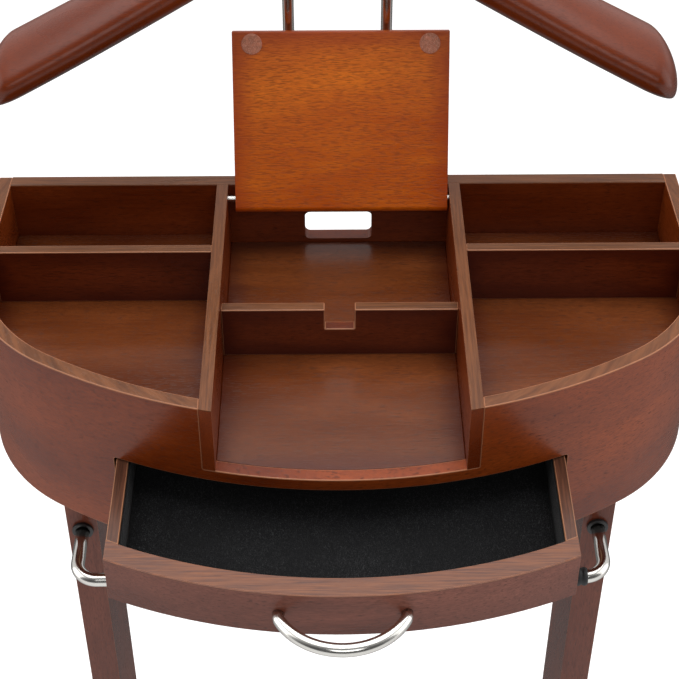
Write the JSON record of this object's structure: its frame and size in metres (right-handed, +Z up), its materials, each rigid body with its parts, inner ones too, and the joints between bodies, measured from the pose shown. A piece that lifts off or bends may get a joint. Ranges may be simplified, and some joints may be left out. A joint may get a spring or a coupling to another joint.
{
  "type": "valet stand",
  "caption": "Valet stand: bow-fronted tray with compartments, lidded charging bay and felt-lined drawer on uprights, with trouser bar, shoe rack and coat hanger.",
  "frame": {"origin": "on the floor, midway between the stand's left and right sides and midway between the front of the drawer pull, with the drawer pulled out as at rest, and the rear ends of the feet", "axes": "+Z up; +Y towards the back, so the bowed front faces -Y; +X to the right seen from the front"},
  "size_m": [0.494, 0.4378, 1.0484],
  "materials": {
    "mahogany": "satin lacquered mahogany stain",
    "mahogany_panel": "satin lacquered mahogany stain on thin panels",
    "mahogany_turned": "satin lacquered solid mahogany",
    "mahogany_lid": "satin lacquered, orange-brown",
    "mahogany_drawer": "satin lacquered veneer",
    "plain_wood": "stained hardwood, unlacquered",
    "satin_nickel": "satin nickel plating",
    "zinc_steel": "zinc plated",
    "black_rubber": "matt ribbed",
    "black_plastic": "moulded",
    "black_felt": "flocked felt",
    "brown_felt": "round brown felt pads"
  },
  "bodies": {
    "stand": {"curved_wall": "mahogany", "rear_panel": "mahogany_panel", "left_partition": "mahogany_panel", "right_partition": "mahogany_panel", "left_divider": "mahogany_panel", "right_divider": "mahogany_panel", "lid_rest": "mahogany_panel", "centre_floor": "mahogany_panel", "left_floor": "mahogany_panel", "right_floor": "mahogany_panel", "drawer_shelf": "mahogany_panel", "drawer_guides": "plain_wood", "drawer_stops": "plain_wood", "left_upright": "mahogany", "right_upright": "mahogany", "left_cleat": "plain_wood", "right_cleat": "plain_wood", "upright_bolts": "zinc_steel", "bar_grommets": "black_plastic", "trouser_bar": "satin_nickel", "bar_sleeve": "black_rubber", "post_block": "mahogany", "block_screws": "zinc_steel", "left_post": "satin_nickel", "right_post": "satin_nickel", "post_collars": "satin_nickel", "hanger_dowel": "plain_wood", "hanger_left_arm": "mahogany_turned", "hanger_right_arm": "mahogany_turned", "left_foot": "mahogany", "right_foot": "mahogany", "foot_bolts": "zinc_steel", "stretcher": "mahogany", "stretcher_bolts": "satin_nickel", "left_rack_rail": "mahogany", "right_rack_rail": "mahogany", "rack_rods": "satin_nickel", "floor_glides": "black_plastic"},
    "lid": {"lid": "mahogany_lid", "hinge_pins": "satin_nickel", "lid_pads": "brown_felt"},
    "drawer": {"drawer_front": "mahogany_drawer", "drawer_veneer": "mahogany_drawer", "drawer_left_side": "mahogany_drawer", "drawer_right_side": "mahogany_drawer", "drawer_back": "mahogany_drawer", "drawer_bottom": "mahogany_drawer", "drawer_felt": "black_felt", "drawer_lining": "black_felt", "drawer_pull": "satin_nickel", "pull_screws": "zinc_steel"}
  },
  "joints": [
    {"name": "lid_hinge", "type": "hinge", "parent": "stand", "child": "lid", "pos_m": [0, 0.13248, 0.8444], "axis": [1, 0, 0], "range_deg": [0, 114.5]},
    {"name": "drawer_slide", "type": "slide", "parent": "stand", "child": "drawer", "axis": [0, 1, 0], "range_m": [-0.06, 0.085]}
  ]
}
